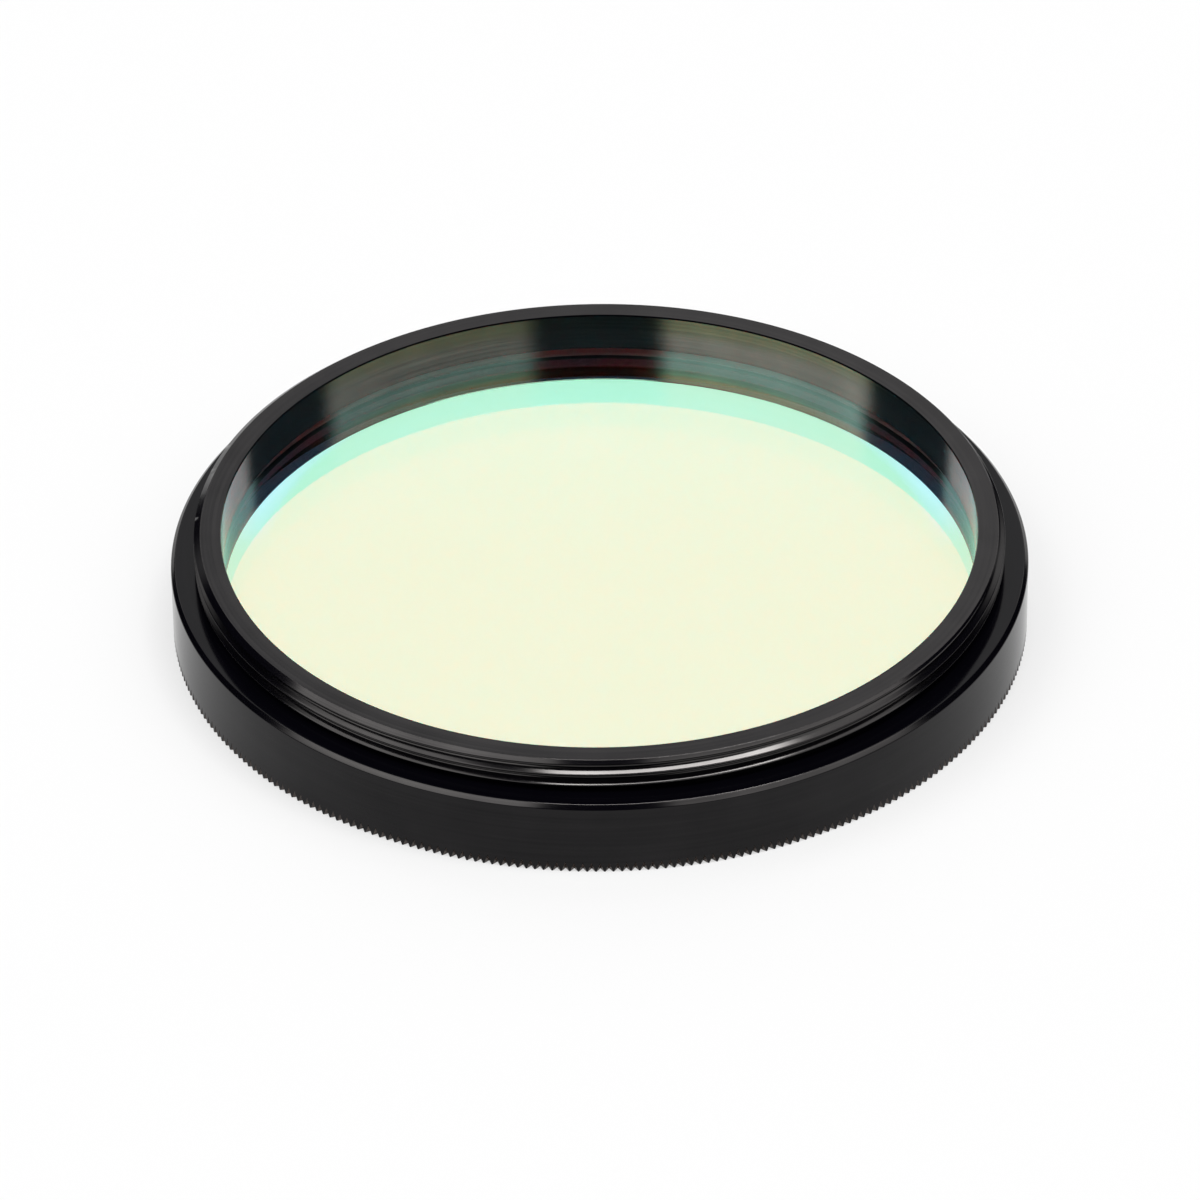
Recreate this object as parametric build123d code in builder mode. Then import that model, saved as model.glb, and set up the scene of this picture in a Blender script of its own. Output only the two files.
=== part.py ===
from build123d import *
import os
from math import pi

os.makedirs("parts", exist_ok=True)

# Frame: Z is the optical axis. The filter lies on the face at Z = 0, which has
# the female thread, and its male thread points up. Lengths are in millimetres.

# Metric fine thread, the same at the male end and at the female end
thread_major_diameter = 48.0
thread_pitch = 0.75

# Male end: the threaded length, its lead-in at the rim and its relief at the shoulder
male_thread_length = 2.0
male_lead_width = 0.4
male_lead_height = 0.3
male_relief_width = 0.3

# Shoulder and outside of the body
shoulder_width = 1.4
shoulder_chamfer = 0.25

# Rim, from the thread's crest in to the clear bore
rim_width = 1.7
rim_edge_break = 0.1
rim_to_glass = 2.4

# Coated glass disc, which is dropped in from below against a ledge
glass_thickness = 2.0
glass_bevel = 0.15
glass_ledge_width = 0.7
glass_clearance = 0.1
glass_proud_of_pocket = 0.2

# Retaining ring, screwed in behind the glass in a finer and smaller thread
ring_thread_step = 1.0
ring_thread_pitch = 0.5
ring_thread_clearance = 0.05
ring_height = 0.6
ring_grip = 0.5
ring_edge_break = 0.1
ring_setback = 0.1
spanner_slot_width = 1.2
spanner_slot_depth = 0.3
spanner_slot_count = 2

# Female end: the depth that is free below the ring, and its relief and mouth
female_thread_depth = 1.5
female_relief_width = 0.2
female_relief_depth = 0.05
mouth_chamfer = 0.2

# Coin-edge knurl round the foot of the body
tooth_pitch = 0.5
tooth_crest_width = 0.06
tooth_depth = 0.32
tooth_height = 0.65

# Depth of a metric thread for each millimetre of its pitch
male_depth_ratio = 0.6134
female_depth_ratio = 0.5413

# Radii, worked out from the thread
male_thread_radius = thread_major_diameter / 2
male_root_radius = male_thread_radius - male_depth_ratio * thread_pitch
female_crest_radius = male_thread_radius - female_depth_ratio * thread_pitch
female_relief_radius = male_thread_radius + female_relief_depth
body_radius = male_thread_radius + shoulder_width
bore_radius = male_thread_radius - rim_width
glass_radius = bore_radius + glass_ledge_width
pocket_radius = glass_radius + glass_clearance
ring_thread_radius = male_thread_radius - ring_thread_step / 2
ring_seat_radius = ring_thread_radius - female_depth_ratio * ring_thread_pitch
ring_radius = ring_seat_radius - ring_thread_clearance
ring_inner_radius = glass_radius - ring_grip
ring_width = ring_radius - ring_inner_radius

# Heights, stacked up from the face that the filter lies on
ring_bottom = female_thread_depth + ring_setback
glass_bottom = ring_bottom + ring_height
glass_top = glass_bottom + glass_thickness
total_height = glass_top + rim_to_glass
body_height = total_height - male_thread_length
relief_top = body_height + male_relief_width
pocket_bottom = glass_bottom + glass_proud_of_pocket
female_thread_top = female_thread_depth - female_relief_width

# Cutter for one knurl groove: a V that is deepest at the foot and runs out up
# the side. It starts below the foot and ends outside the body.
tooth_count = round(2 * pi * body_radius / tooth_pitch)
groove_half_width = (2 * pi * body_radius / tooth_count - tooth_crest_width) / 2
groove_foot = Vector(body_radius - tooth_depth, 0, 0)
groove_slope = Vector(tooth_depth, 0, tooth_height).normalized()
cutter_overrun = tooth_depth
cutter_reach = 2 * tooth_depth
cutter_half_width = cutter_reach * groove_half_width / tooth_depth
cutter_plane = Plane(
    origin=groove_foot - groove_slope * cutter_overrun,
    x_dir=(groove_slope.Z, 0, -groove_slope.X),
    z_dir=groove_slope,
)

with BuildPart() as groove_cutter:
    with BuildSketch(cutter_plane):
        with BuildLine():
            Polyline(
                (0, 0),
                (cutter_reach, cutter_half_width),
                (cutter_reach, -cutter_half_width),
                close=True,
            )
        make_face()
    extrude(amount=tooth_height + 2 * cutter_overrun)

# The cell: one turned ring, drawn as half its section, revolved and knurled
with BuildPart() as filter_cell:
    with BuildSketch(Plane.XZ):
        with BuildLine():
            Polyline(
                (female_crest_radius + mouth_chamfer, 0),
                (body_radius, 0),
                (body_radius, body_height - shoulder_chamfer),
                (body_radius - shoulder_chamfer, body_height),
                (male_root_radius, body_height),
                (male_root_radius, relief_top),
                (male_thread_radius, relief_top),
                (male_thread_radius, total_height - male_lead_height),
                (male_thread_radius - male_lead_width, total_height),
                (bore_radius + rim_edge_break, total_height),
                (bore_radius, total_height - rim_edge_break),
                (bore_radius, glass_top),
                (pocket_radius, glass_top),
                (pocket_radius, pocket_bottom),
                (ring_seat_radius, pocket_bottom),
                (ring_seat_radius, female_thread_depth),
                (female_relief_radius, female_thread_depth),
                (female_relief_radius, female_thread_top),
                (female_crest_radius, female_thread_top),
                (female_crest_radius, mouth_chamfer),
                close=True,
            )
        make_face()
    revolve(axis=Axis.Z)
    with PolarLocations(0, tooth_count):
        add(groove_cutter.part, mode=Mode.SUBTRACT)

# The glass: a disc with both of its edges bevelled
with BuildPart() as filter_glass:
    with BuildSketch(Plane.XY.offset(glass_bottom)):
        Circle(glass_radius)
    extrude(amount=glass_thickness)
    chamfer(filter_glass.edges(), length=glass_bevel)

# The retaining ring: its upper face presses on the glass, and two slots across
# its lower face take a spanner
with BuildPart() as retaining_ring:
    with BuildSketch(Plane.XY.offset(ring_bottom)):
        Circle(ring_radius)
        Circle(ring_inner_radius, mode=Mode.SUBTRACT)
    extrude(amount=ring_height)
    chamfer(retaining_ring.edges().group_by(Axis.Z)[0], length=ring_edge_break)
    with BuildSketch(Plane.XY.offset(ring_bottom)):
        with PolarLocations(ring_radius - ring_width / 2, spanner_slot_count):
            Rectangle(2 * ring_width, spanner_slot_width)
    extrude(amount=spanner_slot_depth, mode=Mode.SUBTRACT)

filter_cell.part.label = "filter_cell"
filter_glass.part.label = "filter_glass"
retaining_ring.part.label = "retaining_ring"

export_step(filter_cell.part, "parts/filter_cell.step")
export_step(filter_glass.part, "parts/filter_glass.step")
export_step(retaining_ring.part, "parts/retaining_ring.step")
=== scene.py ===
"""Dresses a round optical filter: turned black cell with its threads and knurl,
coated glass, slotted retaining ring, and a plain pale studio."""

import math

import bmesh
import bpy
import numpy as np
from bpy.props import FloatProperty, FloatVectorProperty, IntProperty, PointerProperty
from mathutils import Matrix, Vector


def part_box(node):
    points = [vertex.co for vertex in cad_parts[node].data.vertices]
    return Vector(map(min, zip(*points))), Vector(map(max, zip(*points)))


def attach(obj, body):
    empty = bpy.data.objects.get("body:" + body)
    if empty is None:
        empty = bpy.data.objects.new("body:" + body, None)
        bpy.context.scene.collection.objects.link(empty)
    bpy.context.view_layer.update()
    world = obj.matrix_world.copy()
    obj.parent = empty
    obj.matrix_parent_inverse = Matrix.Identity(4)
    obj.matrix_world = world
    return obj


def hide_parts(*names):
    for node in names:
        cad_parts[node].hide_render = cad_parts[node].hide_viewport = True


bl_info = {
    "name": "Optical Filter Dressing",
    "version": (1, 0, 0),
    "blender": (4, 5, 0),
    "location": "View3D > Sidebar > Filter",
    "description": "Builds a threaded filter cell, its coated glass, its ring and a studio",
    "category": "Object",
}

MM = 0.001
TURN = 2 * math.pi
MERGE = 1e-5 * MM
LEDGE_GAP = 0.005 * MM
# Facings between which a coating goes over to its slanting colours
ASLANT = (0.12, 0.36)

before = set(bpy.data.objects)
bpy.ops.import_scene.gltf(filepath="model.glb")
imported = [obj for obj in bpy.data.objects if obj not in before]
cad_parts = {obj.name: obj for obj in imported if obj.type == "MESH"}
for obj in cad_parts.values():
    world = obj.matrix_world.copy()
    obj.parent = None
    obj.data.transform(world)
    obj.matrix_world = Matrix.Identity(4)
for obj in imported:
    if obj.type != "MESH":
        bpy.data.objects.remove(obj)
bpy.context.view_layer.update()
cell_low, cell_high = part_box("filter_cell")
glass_low, glass_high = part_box("filter_glass")
ring_low, ring_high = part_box("retaining_ring")


def length(name, description, default):
    """A length that is set in millimetres and kept in metres."""
    return FloatProperty(
        name=name, description=description, default=default * MM, unit="LENGTH", precision=5
    )


def colour(name, description, default):
    return FloatVectorProperty(
        name=name, description=description, default=default, subtype="COLOR", min=0, max=1
    )


def share(name, description, default, most=1.0):
    return FloatProperty(
        name=name, description=description, default=default, subtype="FACTOR", min=0, max=most
    )


# Settings


class CellSettings(bpy.types.PropertyGroup):
    """Turned cell: sizes of the threads, the rim and the knurl, and the black finish"""

    thread_radius: length("Thread radius", "Radius over the male thread's crests", 24.0)
    thread_pitch: length("Pitch", "Advance of both threads in one turn", 0.75)
    male_depth: length("Male depth", "Depth of the male thread from crest to root", 0.42)
    relief_depth: length("Relief depth", "Depth of the groove between shoulder and thread", 0.46)
    female_depth: length("Female depth", "Depth of the female thread", 0.406)
    female_radius: length("Female radius", "Radius over the female thread's crests", 23.594)
    crest_round: length("Crest round", "Radius on the male thread's crests", 0.04)
    male_phase: length("Male phase", "Height of one male crest above the foot, at +X", 5.23)
    female_phase: length("Female phase", "Height of one female root above the foot, at +X", 0.4)
    lead_width: length("Lead width", "Width of the lead-in chamfer at the rim", 0.4)
    lead_height: length("Lead height", "Height of the lead-in chamfer at the rim", 0.3)
    relief_width: length("Relief width", "Height of the groove between shoulder and thread", 0.3)
    body_height: length("Body height", "Height of the shoulder above the foot", 4.6)
    shoulder_chamfer: length("Shoulder chamfer", "Chamfer of the shoulder's edge", 0.25)
    bore_radius: length("Bore radius", "Radius of the clear bore above the glass", 22.3)
    edge_break: length("Edge break", "Height of the chamfer at the bore's upper edge", 0.1)
    bore_mouth: length("Bore mouth", "Radius of the bore's mouth at the rim", 22.4)
    bore_top: length("Bore top", "Radius of the bore below that chamfer", 22.355)
    edge_round: length("Edge round", "Radius on the rim's and the shoulder's outer edges", 0.1)
    pocket_radius: length("Pocket radius", "Radius of the pocket of the glass", 23.1)
    pocket_bottom: length("Pocket bottom", "Height of the pocket's lower end", 2.4)
    seat_radius: length("Seat radius", "Radius of the retaining ring's seat", 23.229)
    female_depth_free: length("Free depth", "Depth of the female end below the ring", 1.5)
    female_relief_radius: length("Relief radius", "Radius of the female relief groove", 24.05)
    female_relief_width: length("Relief width", "Height of the female relief groove", 0.2)
    mouth_chamfer: length("Mouth chamfer", "Chamfer at the mouth of the female thread", 0.2)
    tooth_count: IntProperty(name="Teeth", description="Teeth of the knurl", default=319, min=12)
    tooth_depth: length("Tooth depth", "Depth of a knurl groove at the foot", 0.32)
    tooth_height: length("Tooth height", "Height at which a knurl groove runs out", 0.65)
    tooth_crest: length("Tooth crest", "Width of the flat between grooves at the foot", 0.06)
    black: colour("Black", "Colour of the dyed anodised skin", (0.0010, 0.0009, 0.0018))
    metal: colour("Metal", "Colour of the metal under the skin", (0.52, 0.49, 0.475))
    bore_metal: colour("Bore metal", "Metal under the bore's skin", (0.60, 0.585, 0.44))
    # Rubbed skin of the knurl: partly real wear, partly painted sheen, made lighter so the shaded
    # grooves read as bright as the floor's reflection in them
    rubbed_and_sheen: colour("Rubbed", "Rubbed skin inside the knurl", (0.09, 0.066, 0.056))
    roughness: share("Roughness", "Roughness of the turned skin", 0.09)
    ior: FloatProperty(name="IOR", description="Index of the sealed skin", default=1.2)


class GlassSettings(bpy.types.PropertyGroup):
    """Coated glass: its bevel, its index and what its two coatings pass and mirror"""

    bevel: length("Bevel", "Bevel of both edges", 0.15)
    index: FloatProperty(name="Index", description="Refractive index", default=1.52, min=1, max=2)
    front_mirror: colour("Front mirror", "Mirrored aslant by the front", (0.43, 0.88, 0.64))
    front_pass: colour("Front pass", "Passed aslant by the front", (0.75, 0.42, 0.46))
    # Painted reflection: a mint mirror colour near the rim on the glass's +Y half, for the
    # crescent seen there
    painted_crescent_mirror: colour("Edge mirror", "Mirrored aslant near the edge", (0.52, 0.92, 1.0))
    warm_mirror: colour("Warm mirror", "Mirrored a little less aslant", (0.47, 0.85, 0.60))
    back_mirror: colour("Back mirror", "Mirrored aslant by the back", (0.66, 0.02, 0.0))
    back_pass: colour("Back pass", "Passed aslant by the back", (0.08, 0.36, 0.50))
    front_mirror_on: colour("Front mirror, head-on", "Mirrored head-on", (0.30, 0.24, 0.16))
    front_pass_on: colour("Front pass, head-on", "Passed head-on", (0.66, 0.78, 0.72))
    back_mirror_on: colour("Back mirror, head-on", "Mirrored head-on", (0.28, 0.10, 0.08))
    back_pass_on: colour("Back pass, head-on", "Passed head-on", (0.58, 0.80, 0.72))
    # Radii over which the painted crescent reflection comes in
    painted_crescent_start: length("Edge begins", "Radius at which the edge's colour begins", 19.4)
    painted_crescent_full: length("Edge is full", "Radius at which the edge's colour is full", 21.0)
    ground: colour("Ground edge", "Colour of the ground edge", (0.45, 0.45, 0.44))


class RingSettings(bpy.types.PropertyGroup):
    """Retaining ring: its edge break and slots, and its finish"""

    edge_break: length("Edge break", "Chamfer of the lower edges", 0.1)
    slot_width: length("Slot width", "Width of a spanner slot", 1.2)
    slot_depth: length("Slot depth", "Depth of a spanner slot", 0.3)
    inner_radius: length("Inner radius", "Radius of the ring's bore", 22.5)
    black: colour("Black", "Colour of the ring's skin", (0.006, 0.0055, 0.006))
    roughness: share("Roughness", "Roughness of the ring's skin", 0.24)


class StudioSettings(bpy.types.PropertyGroup):
    """Studio: the camera's place and the brightness of each panel round the filter"""

    distance: length("Distance", "Camera from the filter's axis, along the floor", 388.6)
    height: length("Height", "Camera above the floor", 276.3)
    pitch: FloatProperty(
        name="Pitch", description="How far the camera looks down",
        default=math.radians(35.316), subtype="ANGLE",
    )
    roll: FloatProperty(
        name="Roll", description="Turn of the camera about its view",
        default=math.radians(-0.548), subtype="ANGLE",
    )
    lens: FloatProperty(name="Lens", description="Focal length", default=240.0, unit="CAMERA")
    side_panels: FloatProperty(name="Side panels", description="Brightness", default=2.6, min=0)
    backdrop: FloatProperty(name="Backdrop", description="Brightness", default=1.0, min=0)
    overhead: FloatProperty(name="Overhead", description="Brightness", default=18.0, min=0)
    gloom: FloatProperty(
        name="Gloom", description="Brightness between panels", default=0.008, min=0
    )


SETTINGS = (
    ("cell_settings", CellSettings),
    ("glass_settings", GlassSettings),
    ("ring_settings", RingSettings),
    ("studio_settings", StudioSettings),
)


# Node sheets


class Term:
    """A socket that takes part in Python arithmetic, where each operation adds a Math node."""

    def __init__(self, sheet, socket):
        self.sheet = sheet
        self.socket = socket

    def math(self, operation, *values):
        node = self.sheet.node("ShaderNodeMath", {"operation": operation}, dict(enumerate(values)))
        return node[0]

    def __add__(self, other):
        return self.math("ADD", self, other)

    def __radd__(self, other):
        return self.math("ADD", other, self)

    def __sub__(self, other):
        return self.math("SUBTRACT", self, other)

    def __rsub__(self, other):
        return self.math("SUBTRACT", other, self)

    def __mul__(self, other):
        return self.math("MULTIPLY", self, other)

    def __rmul__(self, other):
        return self.math("MULTIPLY", other, self)

    def __truediv__(self, other):
        return self.math("DIVIDE", self, other)

    def __rtruediv__(self, other):
        return self.math("DIVIDE", other, self)

    def __pow__(self, other):
        return self.math("POWER", self, other)

    def __abs__(self):
        return self.math("ABSOLUTE", self)

    def least(self, other):
        return self.math("MINIMUM", self, other)

    def most(self, other):
        return self.math("MAXIMUM", self, other)

    def ease(self, start, end, low=0.0, high=1.0):
        """Goes smoothly from low to high as the term goes from start to end."""
        return self.sheet.node(
            "ShaderNodeMapRange",
            {"interpolation_type": "SMOOTHSTEP"},
            {"Value": self, "From Min": start, "From Max": end, "To Min": low, "To Max": high},
        )[0]


class Made:
    """A node that was added: its outputs are read by name or by number, as terms."""

    def __init__(self, sheet, node):
        self.sheet = sheet
        self.node = node

    def __getitem__(self, key):
        return Term(self.sheet, self.node.outputs[key])


class NodeSheet:
    """The node tree of one material or world."""

    def __init__(self, owner):
        owner.use_nodes = True
        self.tree = owner.node_tree
        self.tree.nodes.clear()

    def node(self, kind, settings=None, inputs=None):
        """Adds a node: its settings are set first, then the values or links of its inputs."""
        node = self.tree.nodes.new(kind)
        for name, value in (settings or {}).items():
            if name == "stops":
                self.fill_ramp(node.color_ramp, value)
            else:
                setattr(node, name, value)
        for key, value in (inputs or {}).items():
            if isinstance(value, Term):
                self.tree.links.new(value.socket, node.inputs[key])
            else:
                node.inputs[key].default_value = value
        return Made(self, node)

    @staticmethod
    def fill_ramp(ramp, stops):
        while len(ramp.elements) > 1:
            ramp.elements.remove(ramp.elements[-1])
        for number, (place, tint) in enumerate(stops):
            element = ramp.elements[0] if number == 0 else ramp.elements.new(place)
            element.position = place
            element.color = tint

    def mix(self, factor, first, second):
        """Mixes two colours."""
        return self.node(
            "ShaderNodeMix", {"data_type": "RGBA"}, {"Factor": factor, 6: first, 7: second}
        )[2]

    def blend(self, factor, first, second):
        """Mixes two shaders."""
        return self.node("ShaderNodeMixShader", None, {0: factor, 1: first, 2: second})[0]

    def both(self, first, second):
        """Adds two shaders."""
        return self.node("ShaderNodeAddShader", None, {0: first, 1: second})[0]

    def noise(self, vector, scale, detail=2.0):
        return self.node(
            "ShaderNodeTexNoise", None, {"Vector": vector, "Scale": scale, "Detail": detail}
        )[0]

    def vector(self, x, y, z):
        return self.node("ShaderNodeCombineXYZ", None, {0: x, 1: y, 2: z})[0]

    def place(self):
        """x, y, z and the distance from the axis, in millimetres."""
        coords = self.node("ShaderNodeTexCoord")["Object"]
        parts = self.node("ShaderNodeSeparateXYZ", None, {0: coords})
        x, y, z = (parts[i] / MM for i in range(3))
        return x, y, z, (x * x + y * y) ** 0.5


def rgba(tint):
    return (*tint, 1.0)


def new_material(name):
    material = bpy.data.materials.new(name)
    return material, NodeSheet(material)


# Mesh helpers


def make_piece(name, points, faces, sharp=20.0, slots=None):
    """Makes an object of points and faces: doubles are merged and slivers of no area dropped."""
    points = np.asarray(points, float)
    keys, first, where = np.unique(
        np.round(points / MERGE).astype(np.int64), axis=0, return_index=True, return_inverse=True
    )
    where = where.ravel()
    kept, kinds = [], []
    kinds_in = slots if slots is not None else [0] * len(faces)
    for face, kind in zip(faces, kinds_in):
        ring = [int(where[i]) for i in face]
        ring = [v for k, v in enumerate(ring) if v != ring[k - 1]]
        if len(ring) >= 3:
            kept.append(ring)
            kinds.append(kind)
    mesh = bpy.data.meshes.new(name)
    mesh.from_pydata(points[first].tolist(), [], kept)
    mesh.polygons.foreach_set("material_index", kinds)
    mesh.validate()
    piece = bpy.data.objects.new(name, mesh)
    bpy.context.scene.collection.objects.link(piece)
    tidy_mesh(mesh)
    mesh.shade_smooth()
    mesh.set_sharp_from_angle(angle=math.radians(sharp))
    return piece


def tidy_mesh(mesh):
    work = bmesh.new()
    work.from_mesh(mesh)
    bmesh.ops.dissolve_degenerate(work, dist=MERGE, edges=work.edges)
    loose = [v for v in work.verts if not v.link_faces]
    bmesh.ops.delete(work, geom=loose, context="VERTS")
    bmesh.ops.recalc_face_normals(work, faces=work.faces)
    work.to_mesh(mesh)
    work.free()


class Lathe:
    """Collects rings of points round the axis and joins each to the one before."""

    def __init__(self, columns):
        self.columns = columns
        self.angles = np.arange(columns) * TURN / columns
        self.points = []
        self.rows = []
        self.faces = []

    def add_points(self, radius, angle, height):
        radius, angle, height = np.broadcast_arrays(radius, angle, height)
        start = len(self.points)
        xyz = np.stack([radius * np.cos(angle), radius * np.sin(angle), height], -1)
        self.points.extend(xyz.reshape(-1, 3).tolist())
        return np.arange(start, len(self.points)).reshape(radius.shape)

    def ring(self, radius, height):
        row = self.add_points(radius, self.angles, height)
        self.rows.append(np.append(row, row[0]))
        return row

    def corner(self, before, corner, after, size, steps=4):
        """Rings of a small arc in the place of a corner, with one more ring on each side."""
        before, corner, after = (np.array(place, float) for place in (before, corner, after))
        back = (before - corner) / np.linalg.norm(before - corner)
        on = (after - corner) / np.linalg.norm(after - corner)
        half = math.acos(back @ on) / 2
        reach = size / math.tan(half)
        centre = corner + (back + on) / np.linalg.norm(back + on) * size / math.sin(half)
        first, last = corner + back * reach - centre, corner + on * reach - centre
        sweep = math.pi - 2 * half
        self.ring(*(corner + back * (reach + size / 2)))
        for turn in np.linspace(0, sweep, steps + 1):
            spoke = first * math.sin(sweep - turn) + last * math.sin(turn)
            self.ring(*(centre + spoke / math.sin(sweep)))
        self.ring(*(corner + on * (reach + size / 2)))

    def thread(self, helix):
        for row in helix.index_rows(self):
            self.rows.append(row)
        return self.rows[-1][:-1]

    def skin(self):
        grid = np.array(self.rows)
        quads = np.stack([grid[:-1, :-1], grid[:-1, 1:], grid[1:, 1:], grid[1:, :-1]], -1)
        self.faces.extend(quads.reshape(-1, 4).tolist())
        return self.faces


class Helix:
    """A 60 degree thread between two heights, with round crests and roots and a chamfered end.

    It is worked along u, which grows towards the chamfered end: upwards for the
    male thread and downwards for the female one. Depth is measured from the
    crest into the metal, and the chamfer is given by its start and its slope.
    """

    ROUND_STEPS = 5
    SEARCH_STEPS = 240

    def __init__(self, crest, depth, crest_round, pitch, start, end, phase, chamfer, outward):
        self.crest, self.pitch, self.phase = crest, pitch, phase
        self.start, self.end, self.outward = start, end, outward
        self.chamfer_start, self.chamfer_slope = chamfer
        root_round = math.cos(math.radians(30)) * pitch - depth - crest_round
        tilts = np.radians(np.linspace(0, 60, self.ROUND_STEPS))
        over_crest = crest_round * np.sin(tilts), crest_round * (1 - np.cos(tilts))
        under_root = root_round * np.sin(tilts), root_round * (1 - np.cos(tilts))
        root_places = (pitch / 2 - under_root[0])[::-1]
        root_depths = (depth - under_root[1])[::-1]
        on_flank = np.array([0.2, 0.8])
        flank_places = np.interp(on_flank, [0, 1], [over_crest[0][-1], root_places[0]])
        flank_depths = np.interp(on_flank, [0, 1], [over_crest[1][-1], root_depths[0]])
        half = np.concatenate([over_crest[0], flank_places, root_places])
        deep = np.concatenate([over_crest[1], flank_depths, root_depths])
        self.places = np.concatenate([half, (pitch - half[:-1])[::-1]])
        self.depths = np.concatenate([deep, deep[:-1][::-1]])

    def thread_depth(self, u, rise):
        v = np.mod(u - self.phase - rise, self.pitch)
        return np.interp(v, self.places, self.depths)

    def cut_depth(self, u):
        return np.maximum(0, (u - self.chamfer_start) * self.chamfer_slope)

    def groove_between(self, crest_place):
        """Where the groove after a crest starts and ends, when the chamfer has cut the crests."""
        steps = np.linspace(0, self.pitch / 2, self.SEARCH_STEPS)[:, None]

        def bare_part(from_crest):
            depth = np.interp(from_crest, self.places, self.depths)
            return depth - self.cut_depth(crest_place + from_crest) > 0

        start = np.where(bare_part(steps), 0, steps).max(axis=0)
        end = np.where(bare_part(self.pitch - steps), 0, steps).max(axis=0)
        return crest_place + start, crest_place + self.pitch - end

    def row_places(self, rise):
        """Rows of u: each groove from edge to edge, and then the chamfer's start."""
        first_turn = math.floor((self.start - self.phase) / self.pitch) - 2
        last_turn = math.ceil((self.end - self.phase) / self.pitch) + 2
        rows = []
        for turn in range(first_turn, last_turn):
            crest_place = self.phase + rise + turn * self.pitch
            start, end = self.groove_between(crest_place)
            rows.extend(np.clip(crest_place + place, start, end) for place in self.places)
            next_start = self.groove_between(crest_place + self.pitch)[0]
            rows.append(np.clip(self.chamfer_start, end, next_start))
        return rows

    def index_rows(self, lathe):
        count = lathe.columns
        sign = 1 if self.outward else -1
        angles = sign * np.arange(count) * TURN / count
        rise = self.pitch * np.arange(count) / count
        places = np.clip(self.row_places(rise), self.start, self.end)
        depth = np.maximum(self.thread_depth(places, rise), self.cut_depth(places))
        radius = self.crest - sign * depth
        grid = lathe.add_points(radius, angles, sign * places)
        rows_a_turn = len(self.places) + 1
        last = np.minimum(np.arange(len(grid)) + rows_a_turn, len(grid) - 1)
        grid = np.hstack([grid, grid[last, :1]])
        return grid if self.outward else grid[:, ::-1]


# Materials


def anodised_black(settings):
    """Glossy dyed anodising, through which the turned metal shines a little.

    The metal's share differs from face to face, follows the tool marks round the
    axis, and grows on the lip and where the thread starts, where the skin is worn.
    """
    material, sheet = new_material("black_anodised")
    x, y, z, radius = sheet.place()
    turned = sheet.noise(sheet.vector(radius * 6, z * 6, (x + y) * 0.06), 1.0, 5.0)
    cloud = sheet.noise(sheet.vector(x * 0.3, y * 0.3, z * 0.3), 1.0, 2.0)
    grit = sheet.noise(sheet.vector(x * 7, y * 7, z * 7), 1.0, 3.0)
    top, sill, shelf = cell_high.z / MM, glass_high.z / MM, settings.body_height / MM
    bore, lip = settings.bore_radius / MM, (settings.thread_radius - settings.lead_width) / MM
    body, crest = cell_high.x / MM, settings.thread_radius / MM
    foot = settings.tooth_height / MM

    def near(term, place, width):
        return (1 - abs(term - place) / width).most(0)

    rim_face = z.ease(top - 0.03, top)
    bore_face = radius.ease(bore + 0.07, bore + 0.055) * z.ease(sill - 0.02, sill)
    side_face = radius.ease(body - 0.03, body)
    above_shelf = z.ease(shelf + 0.05, shelf + 0.1) * (1 - rim_face)
    lead_face = radius.ease(lip - 0.02, lip + 0.02) * z.ease(top - 0.31, top - 0.28) * above_shelf
    thread_face = radius.ease(lip - 0.1, lip - 0.06) * above_shelf * (1 - lead_face)
    shelf_face = radius.ease(body - 0.27, body - 0.24) * radius.ease(body, body - 0.02)
    shelf_face = shelf_face * z.ease(shelf - 0.27, shelf - 0.23)
    shine = 0.006 + rim_face * 0.042 + bore_face * 0.15 + side_face * 0.012
    shine = shine + thread_face * 0.05 + lead_face * 0.06 + shelf_face * 0.055
    # The x term makes the skin mirror more towards +X: painted side-to-side shading in the shine
    shine = shine * (turned * 1.2 + cloud * 0.8 + x * 0.006)

    worn = grit.ease(0.40, 0.58)
    lip_line = near(radius, lip, 0.05) * rim_face * worn * 0.05
    # Chatter marks of the tool on the upper turn, within 3 degrees of where it starts
    start_x, start_y = 0.49, -0.87
    along = x * -start_y + y * start_x
    run_out = ((x * start_x + y * start_y) / radius).ease(0.9985, 0.9995)
    marks = sheet.node("ShaderNodeMath", {"operation": "SINE"}, {0: along * 38 + grit * 6})[0]
    chatter = run_out * near(z, 6.03, 0.25) * thread_face * marks.ease(-0.2, 0.5)
    edges = lip_line + chatter * 0.3

    grooves = radius.ease(body - 0.004, body - 0.05) * radius.ease(crest + 0.6, crest + 0.8)
    grooves = grooves * z.ease(foot, foot - 0.05)
    skin = sheet.mix(cloud, rgba(settings.black), rgba(1.6 * c for c in settings.black))
    # The grooves take the rubbed colour: real wear, lightened as painted sheen where the grooves
    # lie in shade
    skin = sheet.mix(grooves * grit.ease(0.3, 0.7, 0.5, 1.0), skin, rgba(settings.rubbed_and_sheen))
    bump = sheet.node("ShaderNodeBump", None, {
        "Strength": 0.35, "Distance": 0.0010 * MM, "Height": turned + chatter * 8,
    })[0]
    dyed = sheet.node("ShaderNodeBsdfPrincipled", None, {
        "Base Color": skin,
        "Roughness": settings.roughness + grooves * 0.3 + grit * 0.04,
        "IOR": settings.ior,
        "Normal": bump,
    })[0]
    metal = sheet.node("ShaderNodeBsdfPrincipled", None, {
        "Base Color": sheet.mix(bore_face, rgba(settings.metal), rgba(settings.bore_metal)),
        "Metallic": 1.0,
        "Roughness": settings.roughness + turned * 0.06,
        "Normal": bump,
    })[0]
    shader = sheet.blend((shine + edges + grooves * 0.06).least(1.0), dyed, metal)
    sheet.node("ShaderNodeOutputMaterial", None, {"Surface": shader})
    return material


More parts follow.
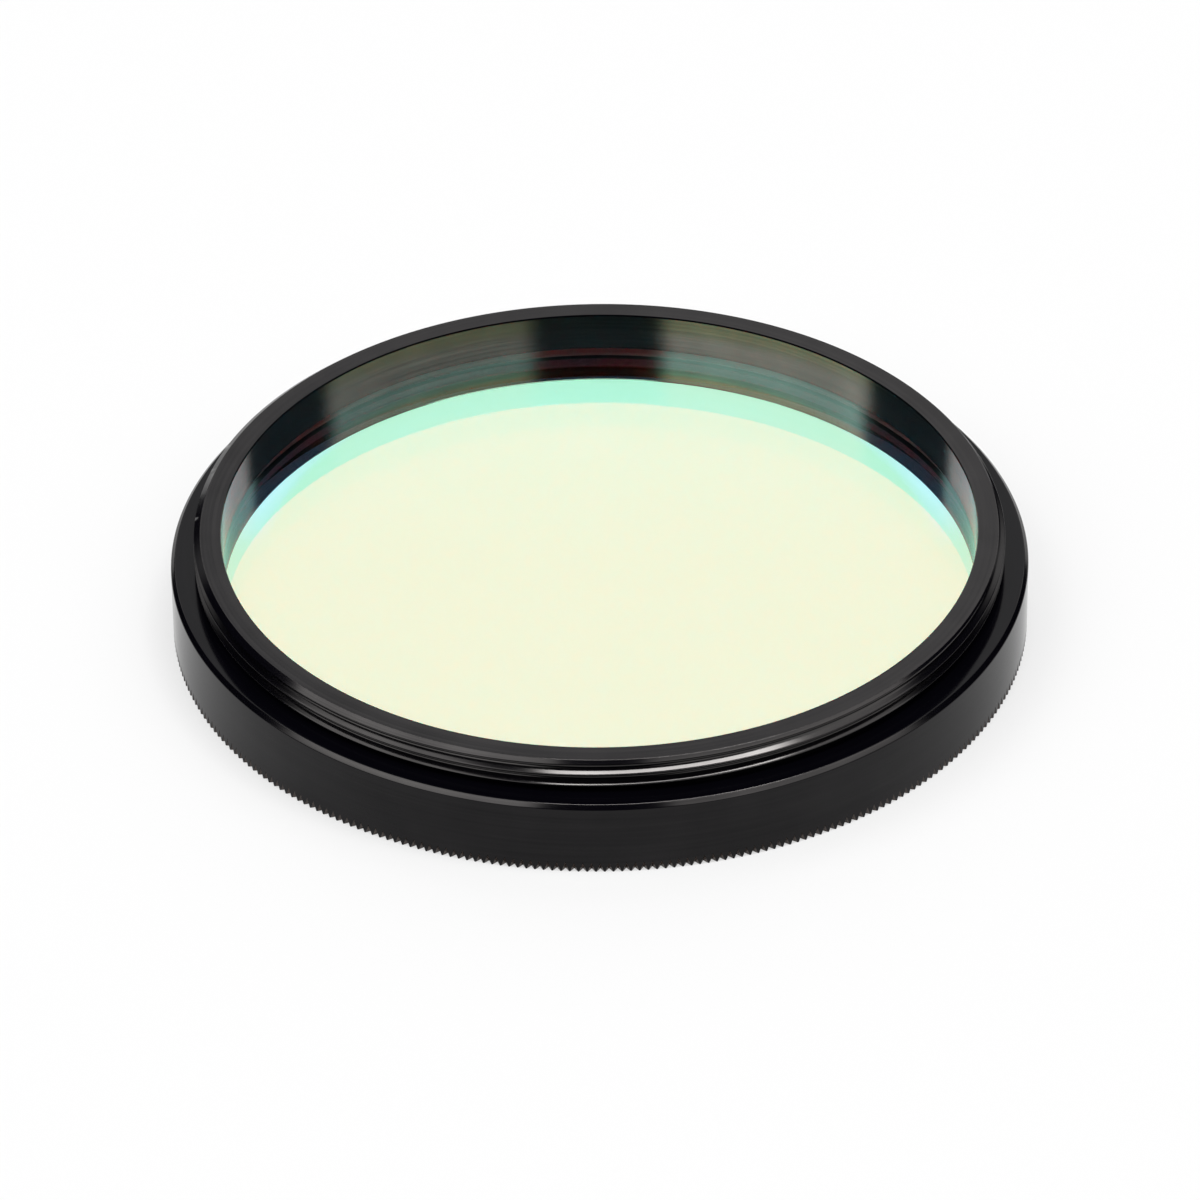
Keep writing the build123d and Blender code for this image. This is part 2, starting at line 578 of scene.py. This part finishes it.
def coating(name, settings, states, edge=None):
    """An interference coating on glass: its mirrored and passed colours shift with the angle.

    states go from head-on to aslant. Each holds the facing at which it begins to
    take over, the facing at which it has, and the mirrored and the passed colour.
    edge is a mirrored colour that takes over near the rim, on the +Y half: a painted reflection,
    the mint crescent seen there aslant.
    """
    material, sheet = new_material(name)
    facing = sheet.node("ShaderNodeLayerWeight", None, {"Blend": 0.5})["Facing"]

    def layer(mirrored, passed):
        mirror = sheet.node(
            "ShaderNodeBsdfGlossy", None, {"Color": rgba(mirrored), "Roughness": 0.0}
        )[0]
        through = sheet.node(
            "ShaderNodeBsdfRefraction", None,
            {"Color": rgba(passed), "Roughness": 0.0, "IOR": settings.index},
        )[0]
        return sheet.both(mirror, through)

    shader = None
    for begins, ends, mirrored, passed in states:
        state = layer(mirrored, passed)
        shader = sheet.blend(facing.ease(begins, ends), shader, state) if shader else state
    # Painted reflection: near the rim on the +Y half the mirror takes the crescent's colour
    if edge:
        _, y, _, radius = sheet.place()
        inner, outer = settings.painted_crescent_start / MM, settings.painted_crescent_full / MM
        aslant = facing.ease(*ASLANT)
        reach = radius.ease(inner, outer) * y.ease(0.0, 8.0) * aslant
        shader = sheet.blend(reach, shader, layer(edge, states[-1][3]))
    sheet.node("ShaderNodeOutputMaterial", None, {"Surface": shader})
    return material


def ground_edge(settings):
    """The ground edge of the glass."""
    material, sheet = new_material("ground_edge")
    x, y, z, radius = sheet.place()
    grain = sheet.noise(sheet.vector(x * 20, y * 20, z * 20), 1.0, 3.0)
    tint = sheet.mix(grain, rgba(settings.ground), rgba(0.6 * c for c in settings.ground))
    shader = sheet.node("ShaderNodeBsdfPrincipled", None, {
        "Base Color": tint,
        "Roughness": 0.45 + grain * 0.2,
    })[0]
    sheet.node("ShaderNodeOutputMaterial", None, {"Surface": shader})
    return material


def ring_black(settings):
    """Satin black anodising on the retaining ring, turned on its faces."""
    material, sheet = new_material("ring_black")
    x, y, z, radius = sheet.place()
    marks = sheet.noise(sheet.vector(radius * 12, z * 12, (x + y) * 0.05), 1.0, 4.0)
    skin = sheet.mix(marks, rgba(settings.black), rgba(1.8 * c for c in settings.black))
    bump = sheet.node(
        "ShaderNodeBump", None, {"Strength": 0.5, "Distance": 0.003 * MM, "Height": marks}
    )[0]
    shader = sheet.node("ShaderNodeBsdfPrincipled", None, {
        "Base Color": skin,
        "Roughness": settings.roughness + marks * 0.1,
        "Normal": bump,
    })[0]
    sheet.node("ShaderNodeOutputMaterial", None, {"Surface": shader})
    return material


# Operators


class OBJECT_OT_threaded_cell(bpy.types.Operator):
    """Turn the cell: shoulder, rim, bore, both threads and the knurled foot"""

    bl_idname = "object.threaded_cell"
    bl_label = "Threaded Cell"

    def execute(self, context):
        s = context.scene.cell_settings
        lathe = Lathe(2 * s.tooth_count)
        body, top = cell_high.x, cell_high.z
        side = lathe.ring(body, s.tooth_height)
        chamfer_foot = (body, s.body_height - s.shoulder_chamfer)
        chamfer_head = (body - s.shoulder_chamfer, s.body_height)
        root = s.thread_radius - s.relief_depth
        lathe.corner((body, s.tooth_height), chamfer_foot, chamfer_head, s.edge_round)
        lathe.corner(chamfer_foot, chamfer_head, (root, s.body_height), s.edge_round)
        relief_top = s.body_height + s.relief_width
        lathe.ring(root, s.body_height)
        lathe.ring(root, relief_top)
        flat_cut = math.cos(math.radians(30)) * s.thread_pitch / 8
        lead_slope = s.lead_width / s.lead_height
        lead_foot = (s.thread_radius, top - s.lead_height)
        lip = (s.thread_radius - s.lead_width, top)
        lathe.thread(Helix(
            s.thread_radius, s.male_depth, s.crest_round, s.thread_pitch,
            relief_top, top - s.lead_height / 8, s.male_phase,
            (top - s.lead_height, lead_slope), True,
        ))
        lathe.corner(lead_foot, lip, (s.bore_mouth, top), s.edge_round / 2)
        lathe.ring(s.bore_mouth, top)
        lathe.ring(s.bore_top, top - s.edge_break)
        ledge = glass_high.z + LEDGE_GAP
        lathe.ring(s.bore_radius, ledge)
        lathe.ring(s.pocket_radius, ledge)
        lathe.ring(s.pocket_radius, s.pocket_bottom)
        lathe.ring(s.seat_radius, s.pocket_bottom)
        lathe.ring(s.seat_radius, s.female_depth_free)
        lathe.ring(s.female_relief_radius, s.female_depth_free)
        thread_top = s.female_depth_free - s.female_relief_width
        lathe.ring(s.female_relief_radius, thread_top)
        mouth = lathe.thread(Helix(
            s.female_radius, s.female_depth, 2 * flat_cut,
            s.thread_pitch, -thread_top, 0.0, s.female_phase,
            (-s.mouth_chamfer, 1.0), False,
        ))
        faces = lathe.skin() + self.knurl_faces(s, lathe, body, side, mouth)
        cell = make_piece("turned_cell", lathe.points, faces)
        cell.data.materials.append(anodised_black(s))
        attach(cell, "root")
        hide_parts("filter_cell")
        return {"FINISHED"}

    @staticmethod
    def knurl_faces(s, lathe, body, side, mouth):
        """Joins the side and the mouth of the female thread by the teeth of the foot."""
        centres = lathe.angles[::2]
        reach = (TURN / s.tooth_count - s.tooth_crest / body) / 2
        left = lathe.add_points(body, centres - reach, 0.0)
        root = lathe.add_points(body - s.tooth_depth, centres, 0.0)
        right = lathe.add_points(body, centres + reach, 0.0)
        faces = []
        for i in range(s.tooth_count):
            j = (i + 1) % s.tooth_count
            tip, middle, next_tip = side[2 * i], side[2 * i + 1], side[2 * j]
            faces.append((left[i], root[i], tip))
            faces.append((root[i], right[i], tip))
            faces.append((right[i], left[j], next_tip, middle, tip))
            inner = (mouth[2 * j], mouth[2 * i + 1], mouth[2 * i])
            faces.append((*inner, root[i], right[i], left[j], root[j]))
        return faces


class OBJECT_OT_coated_glass(bpy.types.Operator):
    """Make the bevelled glass with its two coatings and its ground edge"""

    bl_idname = "object.coated_glass"
    bl_label = "Coated Glass"

    def execute(self, context):
        s = context.scene.glass_settings
        radius, low, high = glass_high.x, glass_low.z, glass_high.z
        lathe = Lathe(512)
        bottom = lathe.ring(radius - s.bevel, low)
        lathe.ring(radius, low + s.bevel)
        lathe.ring(radius, high - s.bevel)
        top = lathe.ring(radius - s.bevel, high)
        faces = lathe.skin()
        slots = [2] * len(faces) + [1, 0]
        faces = faces + [bottom.tolist(), top.tolist()]
        glass = make_piece("coated_disc", lathe.points, faces, slots=slots)
        front = coating("front_coating", s, (
            (0, 1, s.front_mirror_on, s.front_pass_on),
            (*ASLANT, s.warm_mirror, s.front_pass),
            (0.422, 0.447, s.front_mirror, s.front_pass),
        # The last argument is the colour of the painted crescent reflection
        ), s.painted_crescent_mirror)
        back = coating("back_coating", s, (
            (0, 1, s.back_mirror_on, s.back_pass_on),
            (0.04, 0.13, s.back_mirror, s.back_pass),
        ))
        for material in (front, back, ground_edge(s)):
            glass.data.materials.append(material)
        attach(glass, "root")
        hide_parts("filter_glass")
        return {"FINISHED"}


class OBJECT_OT_retaining_ring(bpy.types.Operator):
    """Turn the retaining ring and cut its two spanner slots"""

    bl_idname = "object.retaining_ring"
    bl_label = "Retaining Ring"

    SLOTS = 2
    ARC_STEPS = 180

    def section(self, s, bottom, corner):
        outer, inner = ring_high.x, s.inner_radius
        return [
            (inner + corner, bottom), (outer - corner, bottom), (outer, bottom + corner),
            (outer, ring_high.z), (inner, ring_high.z), (inner, bottom + corner),
        ]

    def execute(self, context):
        s = context.scene.ring_settings
        plain = self.section(s, ring_low.z, s.edge_break)
        cut = self.section(s, ring_low.z + s.slot_depth, 0.0)
        half = s.slot_width / 2
        points, sections = [], []

        def add_column(shape, angle_at):
            start = len(points)
            for radius, height in shape:
                angle = angle_at(radius)
                points.append((radius * math.cos(angle), radius * math.sin(angle), height))
            sections.append(range(start, start + len(shape)))

        for slot in range(self.SLOTS):
            middle = slot * TURN / self.SLOTS
            span = TURN / self.SLOTS

            def at_edge(side):
                return lambda radius: middle + side * math.asin(half / radius)

            for shape, side in ((plain, -1), (cut, -1), (cut, 0), (cut, 1), (plain, 1)):
                add_column(shape, at_edge(side))
            edge = 2 * half / s.inner_radius
            for step in range(self.ARC_STEPS + 1):
                turn = middle + edge + (span - 2 * edge) * step / self.ARC_STEPS
                add_column(plain, lambda radius: turn)
        faces = []
        rows = len(plain)
        for number, section in enumerate(sections):
            following = sections[(number + 1) % len(sections)]
            for k in range(rows):
                n = (k + 1) % rows
                faces.append((section[k], section[n], following[n], following[k]))
        ring = make_piece("slotted_ring", points, faces)
        ring.data.materials.append(ring_black(s))
        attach(ring, "root")
        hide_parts("retaining_ring")
        return {"FINISHED"}


class SCENE_OT_filter_studio(bpy.types.Operator):
    """Set out the pale floor, the panels of light round the filter and the camera"""

    bl_idname = "scene.filter_studio"
    bl_label = "Studio"

    def execute(self, context):
        s = context.scene.studio_settings
        context.scene.view_settings.view_transform = "Standard"
        self.make_floor()
        self.make_world(context.scene, s)
        self.make_camera(context.scene, s)
        return {"FINISHED"}

    @staticmethod
    def make_floor():
        half, drop = 1.5, 0.01 * MM
        corners = [
            (-half, -half, -drop), (half, -half, -drop), (half, half, -drop), (-half, half, -drop)
        ]
        mesh = bpy.data.meshes.new("pale_floor")
        mesh.from_pydata(corners, [], [(0, 1, 2, 3)])
        floor = bpy.data.objects.new("pale_floor", mesh)
        bpy.context.scene.collection.objects.link(floor)
        material, sheet = new_material("pale_floor")
        path = sheet.node("ShaderNodeLightPath")
        white = (1.0, 1.0, 1.0, 1.0)
        pale = (0.74, 0.74, 0.74, 1.0)
        paint = sheet.node("ShaderNodeBsdfDiffuse", None, {"Color": pale})[0]
        glow = sheet.node("ShaderNodeEmission", None, {"Color": white, "Strength": 1.0})[0]
        seen = path["Is Camera Ray"] * 0.6
        mirrored = path["Is Glossy Ray"] * (0.6 - path["Is Transmission Ray"] * 0.5)
        shader = sheet.blend(seen.most(mirrored), paint, glow)
        sheet.node("ShaderNodeOutputMaterial", None, {"Surface": shader})
        mesh.materials.append(material)

    @staticmethod
    def make_world(scene, s):
        """Panels of soft light, given by where they stand as seen from the filter."""
        world = bpy.data.worlds.new("studio_light")
        scene.world = world
        sheet = NodeSheet(world)
        coords = sheet.node("ShaderNodeTexCoord")["Generated"]
        parts = sheet.node("ShaderNodeSeparateXYZ", None, {0: coords})
        x, y, z = parts[0], parts[1], parts[2]
        level = (x * x + y * y).most(1e-6) ** 0.5
        bearing = sheet.node(
            "ShaderNodeMath", {"operation": "ARCCOSINE"}, {0: (y * -1 / level).most(-1).least(1)}
        )[0] * (180 / math.pi)
        # Bearings are in degrees from the camera's side of the filter. The side panels
        # reach further back high up, and the left one is the brighter.
        reach = z.ease(0.58, 0.74, 91, 114) - bearing
        side = bearing.ease(17, 25) * reach.ease(-4, 4) * z.ease(0.97, 0.92) * z.ease(0.3, 0.42)
        side = side * z.ease(0.45, 0.68, 0.42, 1.0) * x.ease(-0.15, 0.15, 1.0, 0.6)
        back = bearing.ease(132, 140) * z.ease(0.97, 0.85) * z.ease(0.12, 0.38)
        lamp = (abs(x - 0.13) / 0.27).most(abs(y + 0.1 - x * 0.3) / 0.08).ease(1.1, 0.9)
        lamp = lamp * z.ease(0.0, 0.2)
        light = s.gloom + side * s.side_panels + back * s.backdrop + lamp * s.overhead
        path = sheet.node("ShaderNodeLightPath")
        camera = path["Is Camera Ray"]
        strength = light * (1 - camera) + camera
        shader = sheet.node(
            "ShaderNodeBackground", None, {"Color": (1.0, 1.0, 1.0, 1.0), "Strength": strength}
        )[0]
        sheet.node("ShaderNodeOutputWorld", None, {"Surface": shader})

    @staticmethod
    def make_camera(scene, s):
        data = bpy.data.cameras.new("camera")
        data.sensor_width = 36.0
        data.lens = s.lens
        data.clip_start = 0.01
        data.clip_end = 10.0
        camera = bpy.data.objects.new("camera", data)
        scene.collection.objects.link(camera)
        forward = Vector((0, math.cos(s.pitch), -math.sin(s.pitch)))
        right = Vector((1, 0, 0))
        up = right.cross(forward)
        turned_right = math.cos(s.roll) * right + math.sin(s.roll) * up
        turned_up = math.cos(s.roll) * up - math.sin(s.roll) * right
        turn = Matrix((turned_right, turned_up, -forward)).transposed()
        camera.matrix_world = Matrix.Translation((0, -s.distance, s.height)) @ turn.to_4x4()
        scene.camera = camera


class VIEW3D_PT_filter(bpy.types.Panel):
    """Lists the steps that build the filter and its studio"""

    bl_label = "Filter"
    bl_idname = "VIEW3D_PT_filter"
    bl_space_type = "VIEW_3D"
    bl_region_type = "UI"
    bl_category = "Filter"

    def draw(self, context):
        for operator in OPERATORS:
            self.layout.operator(operator.bl_idname)
        for attribute, group in SETTINGS:
            box = self.layout.box()
            box.label(text=group.__doc__.split(":")[0])
            for name in group.__annotations__:
                box.prop(getattr(context.scene, attribute), name)


OPERATORS = (
    OBJECT_OT_threaded_cell,
    OBJECT_OT_coated_glass,
    OBJECT_OT_retaining_ring,
    SCENE_OT_filter_studio,
)


def register():
    for attribute, group in SETTINGS:
        bpy.utils.register_class(group)
        setattr(bpy.types.Scene, attribute, PointerProperty(type=group))
    for entry in (*OPERATORS, VIEW3D_PT_filter):
        bpy.utils.register_class(entry)


def unregister():
    for entry in reversed((*OPERATORS, VIEW3D_PT_filter)):
        bpy.utils.unregister_class(entry)
    for attribute, group in reversed(SETTINGS):
        delattr(bpy.types.Scene, attribute)
        bpy.utils.unregister_class(group)


def main():
    register()
    bpy.ops.object.threaded_cell()
    bpy.ops.object.coated_glass()
    bpy.ops.object.retaining_ring()
    bpy.ops.scene.filter_studio()


if __name__ == "__main__":
    main()
